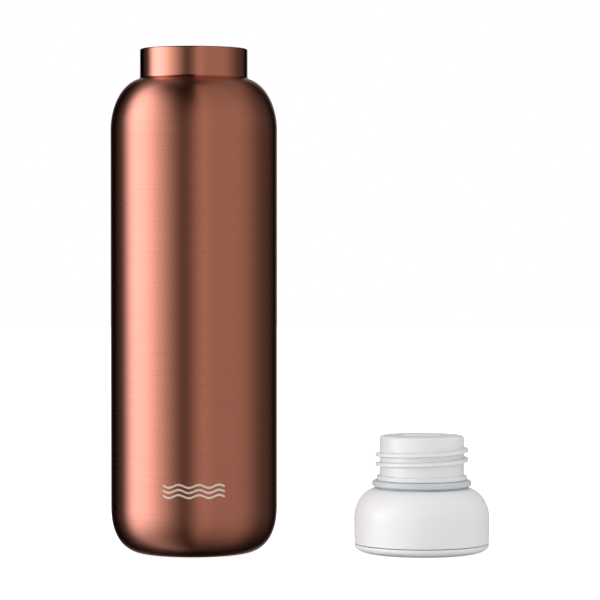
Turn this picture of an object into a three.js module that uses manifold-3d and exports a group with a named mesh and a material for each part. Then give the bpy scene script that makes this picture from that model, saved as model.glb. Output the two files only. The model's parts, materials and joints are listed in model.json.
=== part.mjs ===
// Half-litre double-wall vacuum bottle with its screw stopper cap, in millimetres, +Z up.
// The bottle stands on Z = 0 with its axis on Z. The cap lies upside down beside it, on its flat top,
// so the stopper, its thread and its seal ring point up.

import * as THREE from "three";
import { mergeVertices } from "three/addons/utils/BufferGeometryUtils.js";
import Module from "manifold-3d";

// ---------------------------------------------------------------- driving dimensions

const SEGMENTS = 40; // facets round every turned piece

// Outer shell
const BOTTLE_HEIGHT = 212;
const BODY_R = 35;
const NECK_R = 22.6;
const NECK_LENGTH = 12.3; // from the rim down to the shoulder
const NECK_FILLET = 1.6; // hollow fillet where the neck meets the shoulder
const SHOULDER_RISE = 21.9; // oval shoulder, height of its quarter ellipse
const SHOULDER_REACH = 14.46; // and its width
const FOOT_RISE = 20.3; // rounded foot, height of its curve
const FOOT_POWER = 2.4; // how square the foot's curve is (2 is an ellipse)
const STANDING_R = 20; // outer edge of the flat standing ring
const STANDING_WIDTH = 1.6;
const RECESS_DEPTH = 4.2; // inner wall of the standing ring
const SHEET = 0.5; // steel wall of shell, liner and base

// Liner
const LINER_GAP = 3.5; // vacuum space beside the body
const LINER_FLOOR = 10; // inside bottom of the flask
const LINER_CORNER = 6;
const LINER_OPENING_R = 22.5; // hole in the liner's foot that its base disc closes
const LINER_SHOULDER_DROP = 7.8; // how far its shoulder starts below the shell's
const LINER_SHOULDER_RISE = 22;
const LINER_SHOULDER_REACH = 12;
const BASE_CROWN = 1.5; // rise of the liner's base disc inside its flat welded edge
const BASE_WELD = 4; // and the width of that edge
const LEDGE_WIDTH = 1.3; // the seal's seat, between the mouth and the threaded bore

// Bottom
const PUMP_HOLE_R = 1;
const DIMPLE_R = 4;
const DIMPLE_DEPTH = 1.4;
const COVER_LEVEL = 0.8; // the cover's face, above the standing plane
const BEAD_R = 2;
const GETTER_R = 4;
const GETTER_THICKNESS = 1.6;
const FOIL = 0.25;

// Cap, measured from its flat top up to the stopper's tip
const CAP_SPACING = 32.5; // clear space between the bottle and the cap beside it
const CAP_OVERHANG = 6; // how far the cap stands out past the neck
const CAP_EDGE_REACH = 7; // oval rounding of the flat top's edge, its width
const CAP_EDGE_RISE = 3; // and its height
const CAP_DRAFT = 0.2; // how much narrower the cap is at its flat top
const CAP_WALL = 2.2;
const PLATE_THICKNESS = 3.6;
const PLATE_LIP = 2.6; // ring on the plate that centres it in the dome
const DOME_START = 14.3;
const DOME_HEIGHT = 27.4;
const DOME_INSET = 3.3; // from the mouth's wall in to the dome's flat top ring
const SEAL_THICKNESS = 2.5;
const FLANGE_THICKNESS = 2;
const FLANGE_EDGE = 0.4;
const SEAL_GROOVE = 1.2; // depth of the stopper's neck under the seal
const STOPPER_WALL = 1.6;
const STOPPER_TIP_WALL = 2.3;
const STOPPER_EDGE = 1;
const STOPPER_LEAD = 3.7; // plain stretches before and after the thread
const STOPPER_TIP = 5.1;
const FOAM_THICKNESS = 12;

// Screw thread, single start, right hand
const PITCH = 4;
const THREAD_TURNS = 2;
const THREAD_DEPTH = 2.2; // space between the stopper's body and the bore
const STOPPER_RIDGE = { root: 2, crest: 0.9 };
const FLASK_RIDGE = { root: 1.5, crest: 0.8 };
const RIDGE_SUNK = 0.25; // how far a ridge's foot goes into its wall
const THREAD_STEPS = SEGMENTS; // sections in a turn

// Clearances
const GAP = 0.3; // between pieces that touch
const THREAD_CLEARANCE = 0.4; // from a ridge's crest to the wall it runs along
const FLANGE_CLEARANCE = 0.9; // from the flange to the bore
const LIFT_CLEARANCE = 3; // least height of the stopper's tip over the rim before it goes in

// ---------------------------------------------------------------- sizes that follow

const SHOULDER_Z = BOTTLE_HEIGHT - NECK_LENGTH;
const LINER_R = BODY_R - SHEET - LINER_GAP; // outside of the liner
const LINER_SHOULDER_Z = SHOULDER_Z - SHOULDER_RISE - LINER_SHOULDER_DROP;
const RECESS_R = STANDING_R - STANDING_WIDTH;
const BASE_FLOOR = RECESS_DEPTH - SHEET - GAP; // underside of the outer base

const MOUTH_R = NECK_R - 2 * SHEET - GAP; // inside of the liner at the mouth
const LIP_R = (NECK_R - MOUTH_R) / 2; // half-round rim over both walls
const BORE_R = MOUTH_R - LEDGE_WIDTH; // threaded bore below the seal's ledge
const SEAL_R = MOUTH_R - GAP;
const FLANGE_R = BORE_R - FLANGE_CLEARANCE;
const STOPPER_R = BORE_R - THREAD_DEPTH;
const STOPPER_NECK_R = STOPPER_R - SEAL_GROOVE;
const STOPPER_HOLLOW_R = STOPPER_NECK_R - STOPPER_WALL;
const RIDGE_HEIGHT = THREAD_DEPTH - THREAD_CLEARANCE;
const THREAD_ANGLE = Math.PI / 2 + Math.PI / SEGMENTS; // where both ridges start, mid-facet

const CAP_R = NECK_R + CAP_OVERHANG;
const CAP_OFFSET = BODY_R + CAP_SPACING + CAP_R; // between the two axes
const DOME_TOP_R = MOUTH_R - DOME_INSET;
const SHELL_START = PLATE_THICKNESS + GAP;
const SEAL_START = DOME_HEIGHT + GAP;
const FLANGE_START = SEAL_START + SEAL_THICKNESS + GAP;
const STOPPER_BODY_START = FLANGE_START + FLANGE_THICKNESS;
const STOPPER_THREAD_START = STOPPER_BODY_START + STOPPER_LEAD;
const STOPPER_THREAD_END = STOPPER_THREAD_START + PITCH * THREAD_TURNS;
const STOPPER_HEIGHT = STOPPER_THREAD_END + STOPPER_TIP;

// Height of the dome's outside above its flat top, at a radius.
const domeAt = (r) => {
  const reach = CAP_R - DOME_TOP_R;
  const u = Math.max(0, (r - DOME_TOP_R) / reach);
  return DOME_START + (DOME_HEIGHT - DOME_START) * Math.sqrt(1 - u * u);
};
// The rim's plane on the cap when it is screwed home, clear of the dome all round the rim.
const RIM_ON_CAP = domeAt(MOUTH_R) + GAP / 2;
const LEDGE_Z = BOTTLE_HEIGHT - (SEAL_START + SEAL_THICKNESS - RIM_ON_CAP) - GAP;
// Whole half turns that lift the stopper's tip clear of the rim.
const SCREW_TURNS = Math.ceil((2 * (STOPPER_HEIGHT - RIM_ON_CAP + LIFT_CLEARANCE)) / PITCH) / 2;
// Height of the cap's flat top when the cap is upright over the mouth with its thread fully out.
const RAISED_TOP = BOTTLE_HEIGHT + RIM_ON_CAP + SCREW_TURNS * PITCH;

// ---------------------------------------------------------------- outlines, as [radius, height]

const at = (r, z) => new THREE.Vector2(r, z);

// Points along an elliptical arc about (r, z), with its two half axes and its angles in degrees.
function arc(r, z, across, up, from, to, steps) {
  const points = [];
  for (let i = 0; i <= steps; i++) {
    const a = THREE.MathUtils.degToRad(from + ((to - from) * i) / steps);
    points.push(at(r + across * Math.cos(a), z + up * Math.sin(a)));
  }
  return points;
}

// Points of a rounded outside edge at radius r and height z, of an upper or a lower face.
function roundEdge(r, z, size, upper) {
  return upper
    ? arc(r - size, z - size, size, size, 0, 90, 3)
    : arc(r - size, z + size, size, size, 270, 360, 3);
}

// Points of the shell's rounded foot, from the standing ring out and up to the straight body.
function footCurve(inset, steps) {
  const across = BODY_R - STANDING_R;
  const points = [];
  for (let i = 0; i <= steps; i++) {
    const t = ((Math.PI / 2) * i) / steps;
    const r = STANDING_R + (across - inset) * Math.sin(t) ** (2 / FOOT_POWER);
    const z = FOOT_RISE - (FOOT_RISE - inset) * Math.cos(t) ** (2 / FOOT_POWER);
    points.push(at(r, z));
  }
  return points;
}

// Points of a quarter-oval shoulder from its straight side up to the neck's radius.
function shoulderCurve(side, base, reach, rise, neck, steps) {
  const centre = side - reach;
  const end = Math.acos((neck - centre) / reach);
  return arc(centre, base, reach, rise, 0, THREE.MathUtils.radToDeg(end), steps);
}

// ---------------------------------------------------------------- solids

const wasm = await Module();
wasm.setup();

function toSolid(geometry) {
  const bare = geometry.clone();
  bare.deleteAttribute("normal");
  bare.deleteAttribute("uv");
  const merged = mergeVertices(bare, 1e-4);
  return new wasm.Manifold(
    new wasm.Mesh({
      numProp: 3,
      vertProperties: merged.attributes.position.array,
      triVerts: new Uint32Array(merged.index.array),
    }),
  );
}

function toGeometry(solid) {
  const mesh = solid.getMesh();
  const geometry = new THREE.BufferGeometry();
  geometry.setAttribute("position", new THREE.BufferAttribute(mesh.vertProperties, 3));
  geometry.setIndex(new THREE.BufferAttribute(mesh.triVerts, 1));
  geometry.computeVertexNormals();
  return geometry;
}

// A solid turned about Z from an outline that runs up its outside. A closed one makes a ring.
function turned(outline, closed = true) {
  const points = closed ? [...outline, outline[0].clone()] : outline;
  const geometry = new THREE.LatheGeometry(points, SEGMENTS);
  geometry.rotateX(Math.PI / 2);
  return geometry;
}

// A helix with sections that always stand square to the screw's axis.
class ScrewLine extends THREE.Curve {
  constructor(radius, start) {
    super();
    this.radius = radius;
    this.start = start;
  }
  angleAt(t) {
    return THREAD_ANGLE + 2 * Math.PI * THREAD_TURNS * t;
  }
  getPoint(t, target = new THREE.Vector3()) {
    const a = this.angleAt(t);
    const z = this.start + PITCH * THREAD_TURNS * t;
    return target.set(this.radius * Math.cos(a), this.radius * Math.sin(a), z);
  }
  getPointAt(t, target) {
    return this.getPoint(t, target);
  }
  computeFrenetFrames(steps) {
    const frames = { tangents: [], normals: [], binormals: [] };
    for (let i = 0; i <= steps; i++) {
      const a = this.angleAt(i / steps);
      frames.normals.push(new THREE.Vector3(Math.cos(a), Math.sin(a), 0));
      frames.binormals.push(new THREE.Vector3(0, 0, -1));
      frames.tangents.push(new THREE.Vector3(-Math.sin(a), Math.cos(a), 0));
    }
    return frames;
  }
}

// A thread ridge on a wall of the given radius; side is 1 for outside and -1 for inside the wall.
function ridge(wall, side, size, start) {
  const section = new THREE.Shape([
    at(-side * RIDGE_SUNK, -size.root / 2),
    at(side * RIDGE_HEIGHT, -size.crest / 2),
    at(side * RIDGE_HEIGHT, size.crest / 2),
    at(-side * RIDGE_SUNK, size.root / 2),
  ]);
  return new THREE.ExtrudeGeometry(section, {
    steps: THREAD_STEPS * THREAD_TURNS,
    extrudePath: new ScrewLine(wall, start),
  });
}

// ---------------------------------------------------------------- bottle pieces

function outerShell() {
  const inside = BODY_R - SHEET;
  const foot = footCurve(0, 7);
  const innerFoot = footCurve(SHEET, 4);
  const shoulder = shoulderCurve(
    BODY_R, SHOULDER_Z - SHOULDER_RISE, SHOULDER_REACH, SHOULDER_RISE, NECK_R + NECK_FILLET, 7,
  );
  const top = shoulder.at(-1);
  const fillet = arc(NECK_R + NECK_FILLET, top.y + NECK_FILLET, NECK_FILLET, NECK_FILLET, 270, 180, 2);
  const lip = arc(NECK_R - LIP_R, BOTTLE_HEIGHT - LIP_R, LIP_R, LIP_R, 0, 180, 4);
  const underShoulder = shoulderCurve(
    inside, SHOULDER_Z - SHOULDER_RISE, SHOULDER_REACH, SHOULDER_RISE - SHEET, NECK_R - SHEET, 5,
  );
  return turned([
    at(RECESS_R, 0),
    ...foot,
    ...shoulder,
    ...fillet.slice(1),
    ...lip,
    at(MOUTH_R, BOTTLE_HEIGHT - 2 * LIP_R),
    at(NECK_R - SHEET, BOTTLE_HEIGHT - 2 * LIP_R),
    ...underShoulder.reverse(),
    ...innerFoot.reverse(),
    at(RECESS_R + SHEET, SHEET),
    at(RECESS_R + SHEET, RECESS_DEPTH),
    at(RECESS_R, RECESS_DEPTH),
  ]);
}

function innerFlask() {
  const bodyIn = LINER_R - SHEET;
  const corner = LINER_CORNER + SHEET;
  const mouthTop = BOTTLE_HEIGHT - 2 * LIP_R - GAP;
  const cornerZ = LINER_FLOOR + LINER_CORNER;
  const outside = shoulderCurve(
    LINER_R, LINER_SHOULDER_Z, LINER_SHOULDER_REACH, LINER_SHOULDER_RISE, BORE_R + SHEET, 4,
  );
  const inside = shoulderCurve(
    bodyIn, LINER_SHOULDER_Z, LINER_SHOULDER_REACH, LINER_SHOULDER_RISE - SHEET, BORE_R, 4,
  );
  const flask = toSolid(turned([
    at(LINER_OPENING_R, LINER_FLOOR - SHEET),
    ...arc(LINER_R - corner, cornerZ, corner, corner, 270, 360, 3),
    ...outside,
    at(BORE_R + SHEET, LEDGE_Z - SHEET),
    at(MOUTH_R + SHEET, LEDGE_Z - SHEET),
    at(MOUTH_R + SHEET, mouthTop),
    at(MOUTH_R, mouthTop),
    at(MOUTH_R, LEDGE_Z),
    at(BORE_R, LEDGE_Z),
    ...inside.reverse(),
    ...arc(bodyIn - LINER_CORNER, cornerZ, LINER_CORNER, LINER_CORNER, 360, 270, 3),
    at(LINER_OPENING_R, LINER_FLOOR),
  ]));
  // The stopper's ridge, turned over onto the mouth, passes the starting angle at this height.
  const rise = PITCH / (2 * Math.PI);
  const passing = RAISED_TOP - STOPPER_THREAD_START + rise * (2 * THREAD_ANGLE - Math.PI);
  // The flask's ridge runs half a pitch from it, and starts where the stopper's ends when screwed home.
  const lowest = BOTTLE_HEIGHT + RIM_ON_CAP - STOPPER_THREAD_END;
  const turnsDown = Math.floor((passing - lowest) / PITCH) + 0.5;
  const thread = ridge(BORE_R, -1, FLASK_RIDGE, passing - turnsDown * PITCH);
  return toGeometry(flask.add(toSolid(thread)));
}

function innerBase() {
  const r = LINER_OPENING_R - GAP;
  const low = LINER_FLOOR - SHEET;
  const crowned = r - BASE_WELD;
  const under = arc(0, low, crowned, BASE_CROWN, 90, 0, 4);
  const over = arc(0, LINER_FLOOR, crowned, BASE_CROWN, 0, 90, 4);
  return turned([...under, at(r, low), at(r, LINER_FLOOR), ...over], false);
}

function outerBase() {
  const r = RECESS_R - GAP;
  const flat = DIMPLE_R - DIMPLE_DEPTH;
  return turned([
    at(PUMP_HOLE_R, BASE_FLOOR + DIMPLE_DEPTH),
    at(flat, BASE_FLOOR + DIMPLE_DEPTH),
    at(DIMPLE_R, BASE_FLOOR),
    at(r - SHEET, BASE_FLOOR),
    at(r - SHEET, SHEET),
    at(r, SHEET),
    at(r, BASE_FLOOR + SHEET),
    at(DIMPLE_R, BASE_FLOOR + SHEET),
    at(flat, BASE_FLOOR + DIMPLE_DEPTH + SHEET),
    at(PUMP_HOLE_R, BASE_FLOOR + DIMPLE_DEPTH + SHEET),
  ]);
}

function vacuumSeal() {
  const top = BASE_FLOOR + DIMPLE_DEPTH - GAP;
  return turned([
    ...arc(0, top, BEAD_R, DIMPLE_DEPTH - GAP, 270, 360, 4),
    at(0, top),
  ], false);
}

function baseDisc() {
  const r = RECESS_R - SHEET - 2 * GAP;
  const rim = BASE_FLOOR - GAP;
  return turned([
    at(0, COVER_LEVEL),
    at(r - SHEET, COVER_LEVEL),
    at(r, COVER_LEVEL + SHEET),
    at(r, rim),
    at(r - SHEET, rim),
    at(r - SHEET, COVER_LEVEL + SHEET),
    at(0, COVER_LEVEL + SHEET),
  ], false);
}

function radiationFoil() {
  const low = LINER_FLOOR + LINER_CORNER;
  const r = LINER_R + GAP;
  return turned([
    at(r, low),
    at(r + FOIL, low),
    at(r + FOIL, LINER_SHOULDER_Z),
    at(r, LINER_SHOULDER_Z),
  ]);
}

function getter() {
  const top = LINER_FLOOR - SHEET - GAP;
  return turned([
    at(0, top - GETTER_THICKNESS),
    at(GETTER_R, top - GETTER_THICKNESS),
    at(GETTER_R, top),
    at(0, top),
  ], false);
}

// ---------------------------------------------------------------- cap pieces

function capTopPlate() {
  const r = CAP_R - CAP_DRAFT;
  const lipR = CAP_R - CAP_WALL - GAP;
  const inner = lipR - CAP_WALL;
  return turned([
    at(0, 0),
    ...arc(r - CAP_EDGE_REACH, CAP_EDGE_RISE, CAP_EDGE_REACH, CAP_EDGE_RISE, 270, 360, 5),
    at(r, PLATE_THICKNESS),
    at(lipR, PLATE_THICKNESS),
    at(lipR, PLATE_THICKNESS + PLATE_LIP),
    at(inner, PLATE_THICKNESS + PLATE_LIP),
    at(inner, PLATE_THICKNESS),
    at(0, PLATE_THICKNESS),
  ], false);
}

function capShell() {
  const reach = CAP_R - DOME_TOP_R;
  const rise = DOME_HEIGHT - DOME_START;
  const hole = STOPPER_NECK_R + GAP;
  return turned([
    at(CAP_R - CAP_DRAFT, SHELL_START),
    ...arc(DOME_TOP_R, DOME_START, reach, rise, 0, 90, 7),
    at(hole, DOME_HEIGHT),
    at(hole, DOME_HEIGHT - CAP_WALL),
    ...arc(DOME_TOP_R, DOME_START, reach - CAP_WALL, rise - CAP_WALL, 90, 0, 4),
    at(CAP_R - CAP_WALL, SHELL_START),
  ]);
}

function stopper() {
  const tip = STOPPER_HEIGHT - STOPPER_TIP_WALL;
  const body = toSolid(turned([
    at(0, tip),
    at(STOPPER_HOLLOW_R, tip),
    at(STOPPER_HOLLOW_R, SHELL_START),
    at(STOPPER_NECK_R, SHELL_START),
    at(STOPPER_NECK_R, FLANGE_START),
    ...roundEdge(FLANGE_R, FLANGE_START, FLANGE_EDGE, false),
    ...roundEdge(FLANGE_R, STOPPER_BODY_START, FLANGE_EDGE, true),
    at(STOPPER_R, STOPPER_BODY_START),
    ...roundEdge(STOPPER_R, STOPPER_HEIGHT, STOPPER_EDGE, true),
    at(0, STOPPER_HEIGHT),
  ], false));
  const thread = ridge(STOPPER_R, 1, STOPPER_RIDGE, STOPPER_THREAD_START);
  return toGeometry(body.add(toSolid(thread)));
}

function sealRing() {
  const inner = STOPPER_NECK_R + GAP;
  const bulge = SEAL_THICKNESS / 2;
  return turned([
    at(inner, SEAL_START),
    ...arc(SEAL_R - bulge, SEAL_START + bulge, bulge, bulge, 270, 450, 6),
    at(inner, SEAL_START + SEAL_THICKNESS),
  ]);
}

function capInsulation() {
  const r = STOPPER_HOLLOW_R - GAP;
  const top = STOPPER_HEIGHT - STOPPER_TIP_WALL - GAP;
  return turned([
    at(0, top - FOAM_THICKNESS),
    at(r, top - FOAM_THICKNESS),
    at(r, top),
    at(0, top),
  ], false);
}

// ---------------------------------------------------------------- scene graph

const finish = (color, roughness, metalness = 0) =>
  new THREE.MeshStandardMaterial({ color, roughness, metalness });

function piece(name, geometry, material) {
  const mesh = new THREE.Mesh(geometry, material);
  mesh.name = name;
  return mesh;
}

const copperFinish = () => finish(0xc98a74, 0.35, 1);
const steel = () => finish(0xb9bcc0, 0.3, 1);
const whitePlastic = () => finish(0xf2f2f0, 0.45);

const bottle = new THREE.Group();
bottle.add(
  piece("outer_shell", outerShell(), copperFinish()),
  piece("inner_flask", innerFlask(), steel()),
  piece("inner_base", innerBase(), steel()),
  piece("outer_base", outerBase(), steel()),
  piece("vacuum_seal", vacuumSeal(), finish(0x9a9da0, 0.5, 1)),
  piece("base_disc", baseDisc(), copperFinish()),
  piece("radiation_foil", radiationFoil(), finish(0xc77b52, 0.25, 1)),
  piece("getter", getter(), finish(0x5a5a5a, 0.8)),
);

const cap = new THREE.Group();
cap.position.x = CAP_OFFSET;
cap.add(
  piece("cap_top_plate", capTopPlate(), whitePlastic()),
  piece("cap_shell", capShell(), whitePlastic()),
  piece("stopper", stopper(), whitePlastic()),
  piece("seal_ring", sealRing(), finish(0xbcdcee, 0.35)),
  piece("cap_insulation", capInsulation(), finish(0xf4f1e6, 0.9)),
);

const part = new THREE.Group();
part.add(bottle, cap);

export default part;
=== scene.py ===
"""Looks for a half-litre vacuum bottle in brushed copper lacquer and its white screw stopper cap.

The bottle stands on the floor and the cap lies upside down beside it. Every visible piece is turned
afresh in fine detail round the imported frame, rides on the frame's own bodies and is dressed in a
procedural finish. Outlines are in millimetres, as [radius, height], and meshes are in metres.
"""

import json
import logging
import math
from collections.abc import Callable
from dataclasses import dataclass
from enum import Enum
from typing import NamedTuple

import bmesh
import bpy
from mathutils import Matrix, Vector


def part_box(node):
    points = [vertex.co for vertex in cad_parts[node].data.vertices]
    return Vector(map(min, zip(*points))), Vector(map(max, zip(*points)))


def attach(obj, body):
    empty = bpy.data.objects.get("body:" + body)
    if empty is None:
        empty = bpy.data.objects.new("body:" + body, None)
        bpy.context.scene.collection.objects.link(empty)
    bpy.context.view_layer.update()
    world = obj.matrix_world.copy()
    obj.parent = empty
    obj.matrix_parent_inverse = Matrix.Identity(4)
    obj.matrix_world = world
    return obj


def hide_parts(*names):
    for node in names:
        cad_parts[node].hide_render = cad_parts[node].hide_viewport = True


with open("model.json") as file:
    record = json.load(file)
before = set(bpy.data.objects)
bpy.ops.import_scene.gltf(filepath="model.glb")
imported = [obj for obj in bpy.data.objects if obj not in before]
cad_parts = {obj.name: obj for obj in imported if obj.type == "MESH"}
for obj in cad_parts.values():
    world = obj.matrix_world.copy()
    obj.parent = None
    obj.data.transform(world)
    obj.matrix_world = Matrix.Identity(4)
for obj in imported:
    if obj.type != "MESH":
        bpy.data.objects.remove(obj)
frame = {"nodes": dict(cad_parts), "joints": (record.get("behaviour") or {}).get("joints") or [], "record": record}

LOG = logging.getLogger("bottle")

MM = 0.001
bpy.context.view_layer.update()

Point = tuple[float, float]
Colour = tuple[float, float, float]
Relief = Callable[[float, float, float], Point]
Spot = tuple[float, float, float]
Piece = bpy.types.Object
Material = bpy.types.Material
Tree = bpy.types.NodeTree
Node = bpy.types.Node
Socket = bpy.types.NodeSocket


# ---- turning


class Form(Enum):
    """How a turned outline ends."""

    DISC = "starts and ends on the axis"
    RING = "closes on itself"


class Body(Enum):
    """The frame's moving bodies."""

    BOTTLE = "bottle"
    CORE = "cap_core"
    SEAL = "cap_seal"
    CAP = "cap"


class Corner(NamedTuple):
    """A corner of an outline, in millimetres, and the radius that rounds it."""

    r: float
    z: float
    round: float = 0.0


def oval(
    r: float, z: float, across: float, up: float, start: float, end: float, steps: int
) -> list[Corner]:
    """Corners along an elliptical arc.

    Args:
        r: Radius of the arc's centre.
        z: Height of the arc's centre.
        across: Half axis along the radius.
        up: Half axis along the height.
        start: First angle in degrees, from outwards towards up.
        end: Last angle in degrees.
        steps: Number of stretches.

    Returns:
        The corners from start to end.
    """
    corners = []
    for i in range(steps + 1):
        a = math.radians(start + (end - start) * i / steps)
        corners.append(Corner(r + across * math.cos(a), z + up * math.sin(a)))
    return corners


def wall(r: float, low: float, high: float, step: float) -> list[Corner]:
    """Corners close together up a straight wall, for a relief to shape.

    Args:
        r: Radius of the wall.
        low: Height of the first corner.
        high: Height of the last corner.
        step: Largest distance between two corners.

    Returns:
        The corners from low to high.
    """
    count = math.ceil(abs(high - low) / step)
    return [Corner(r, low + (high - low) * i / count) for i in range(count + 1)]


def soften(corners: list[Corner], form: Form, steps: int = 6) -> list[Point]:
    """Rounds each corner of an outline by its own radius.

    Args:
        corners: The outline, up its outside, as corners or plain rows of their values.
        form: Whether the outline closes on itself.
        steps: Stretches in each rounding.

    Returns:
        The points of the rounded outline.
    """
    corners = [Corner(*row) for row in corners]
    points: list[Point] = []
    last = len(corners) - 1
    for i, corner in enumerate(corners):
        at_end = form is Form.DISC and i in (0, last)
        if at_end or corner.round <= 0:
            points.append((corner.r, corner.z))
            continue
        here = Vector((corner.r, corner.z))
        before = Vector((corners[i - 1].r, corners[i - 1].z)) - here
        after_corner = corners[(i + 1) % len(corners)]
        after = Vector((after_corner.r, after_corner.z)) - here
        half = before.angle(after) / 2
        reach = min(corner.round / math.tan(half), 0.48 * before.length, 0.48 * after.length)
        radius = reach * math.tan(half)
        u, v = before.normalized(), after.normalized()
        centre = here + (u + v).normalized() * (radius / math.sin(half))
        first, final = here + u * reach - centre, here + v * reach - centre
        guard = min(0.12, 0.2 * reach)
        points.append(tuple(here + u * (reach + guard)))
        turn = first.angle_signed(final)
        for k in range(steps + 1):
            a = -turn * k / steps
            spun = Vector((
                first.x * math.cos(a) - first.y * math.sin(a),
                first.x * math.sin(a) + first.y * math.cos(a),
            ))
            points.append(tuple(centre + spun))
        points.append(tuple(here + v * (reach + guard)))
    return points


@dataclass(frozen=True)
class Lathe:
    """Turns outlines about an upright axis.

    Attributes:
        axis_x: Where the axis stands along X, in millimetres.
        facets: Steps round the axis.
    """

    axis_x: float
    facets: int = 256

    def turn(
        self, name: str, outline: list[Corner], form: Form, relief: Relief | None = None
    ) -> Piece:
        """Makes a smooth turned mesh.

        Args:
            name: Name of the new piece.
            outline: Its outline, up its outside.
            form: How the outline ends.
            relief: Moves each point, from its angle, radius and height to a new radius and height.

        Returns:
            The new object.
        """
        points = soften(outline, form)
        closed = form is Form.RING
        rows = len(points)
        verts: list[tuple[float, float, float]] = []
        index: list[list[int]] = []
        for i in range(self.facets):
            angle = 2 * math.pi * i / self.facets
            column = []
            for j, (r, z) in enumerate(points):
                on_axis = r < 1e-6
                if on_axis and i:
                    column.append(index[0][j])
                    continue
                if relief and not on_axis:
                    r, z = relief(angle, r, z)
                column.append(len(verts))
                x, y = r * math.cos(angle), r * math.sin(angle)
                verts.append(((self.axis_x + x) * MM, y * MM, z * MM))
            index.append(column)
        faces = []
        for i in range(self.facets):
            here, there = index[i], index[(i + 1) % self.facets]
            for j in range(rows if closed else rows - 1):
                k = (j + 1) % rows
                face = list(dict.fromkeys((here[j], there[j], there[k], here[k])))
                if len(face) > 2:
                    faces.append(face)
        return new_piece(name, verts, faces)


def new_piece(name: str, verts: list, faces: list) -> Piece:
    """Makes a smooth-shaded mesh object and links it to the scene.

    Args:
        name: Its name.
        verts: Its vertices, in metres.
        faces: Its faces, as lists of vertex numbers.

    Returns:
        The new object.
    """
    mesh = bpy.data.meshes.new(name)
    mesh.from_pydata(verts, [], faces)
    mesh.validate()
    mesh.shade_smooth()
    piece = bpy.data.objects.new(name, mesh)
    bpy.context.scene.collection.objects.link(piece)
    return piece


def add_bead(piece: Piece, path: list[Vector], half_width: float, height: float) -> None:
    """Adds a half-round bead with round ends to a piece's upper face.

    Args:
        piece: The piece to add to.
        path: The bead's middle line on the face, in millimetres.
        half_width: Half its width, in millimetres.
        height: How far it stands up, in millimetres.
    """
    sides, sunk, least = 8, 0.15, 0.1
    mesh = bmesh.new()
    mesh.from_mesh(piece.data)
    along = [0.0]
    for a, b in zip(path, path[1:]):
        along.append(along[-1] + (b - a).length)
    rings = []
    for i, point in enumerate(path):
        ahead, behind = path[min(i + 1, len(path) - 1)], path[max(i - 1, 0)]
        across = (ahead - behind).normalized().cross(Vector((0, 0, 1)))
        to_end = min(along[i], along[-1] - along[i])
        size = math.sqrt(max(1 - max(1 - to_end / half_width, 0.0) ** 2, least**2))
        ring = []
        for k in range(sides + 1):
            a = math.pi * k / sides
            up = height * size * math.sin(a) if 0 < k < sides else -sunk
            corner = point + across * half_width * size * math.cos(a) + Vector((0, 0, up))
            ring.append(mesh.verts.new(corner * MM))
        rings.append(ring)
    for ring, following in zip(rings, rings[1:]):
        for k in range(sides + 1):
            n = (k + 1) % (sides + 1)
            mesh.faces.new((ring[k], following[k], following[n], ring[n]))
    mesh.faces.new(rings[0])
    mesh.faces.new(reversed(rings[-1]))
    bmesh.ops.recalc_face_normals(mesh, faces=mesh.faces)
    mesh.to_mesh(piece.data)
    mesh.free()
    piece.data.shade_smooth()


def ease(t: float) -> float:
    """A smooth step from 0 to 1."""
    t = min(max(t, 0.0), 1.0)
    return t * t * (3 - 2 * t)


@dataclass(frozen=True)
class Thread:
    """A single-start, right-hand thread ridge on a turned wall, in millimetres.

    Attributes:
        start: Height of the ridge's middle at its first point.
        angle: Angle of its first point, in radians.
        pitch: Rise in one turn.
        turns: Number of turns.
        height: How far the ridge stands off its wall.
        root: Width at the wall.
        crest: Width at the top.
        side: 1 for a ridge outside its wall and -1 for one inside.
        fade: Share of a turn over which each end runs out.
    """

    start: float
    angle: float
    pitch: float
    turns: int
    height: float
    root: float
    crest: float
    side: int
    fade: float = 0.12

    def off_wall(self, angle: float, z: float) -> float:
        """How far the surface stands off the wall.

        Args:
            angle: Angle round the axis, in radians.
            z: Height.

        Returns:
            The distance, negative inwards.
        """
        share = ((angle - self.angle) / (2 * math.pi)) % 1.0
        tallest = 0.0
        for lap in range(self.turns):
            t = share + lap
            distance = abs(z - self.start - self.pitch * t)
            flank = min(max((self.root / 2 - distance) / ((self.root - self.crest) / 2), 0.0), 1.0)
            run_out = ease(min(t, self.turns - t) / self.fade)
            tallest = max(tallest, self.height * flank * run_out)
        return tallest * self.side

    def relief(self, wall_r: float) -> Relief:
        """The relief that raises this ridge on a wall.

        Args:
            wall_r: Radius of the wall.

        Returns:
            The relief, which leaves every other radius alone.
        """

        def raise_ridge(angle: float, r: float, z: float) -> Point:
            """Moves a point of the wall, and no other."""
            if abs(r - wall_r) > 1e-6:
                return r, z
            return r + self.off_wall(angle, z), z

        return raise_ridge


# ---- shader helpers


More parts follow.
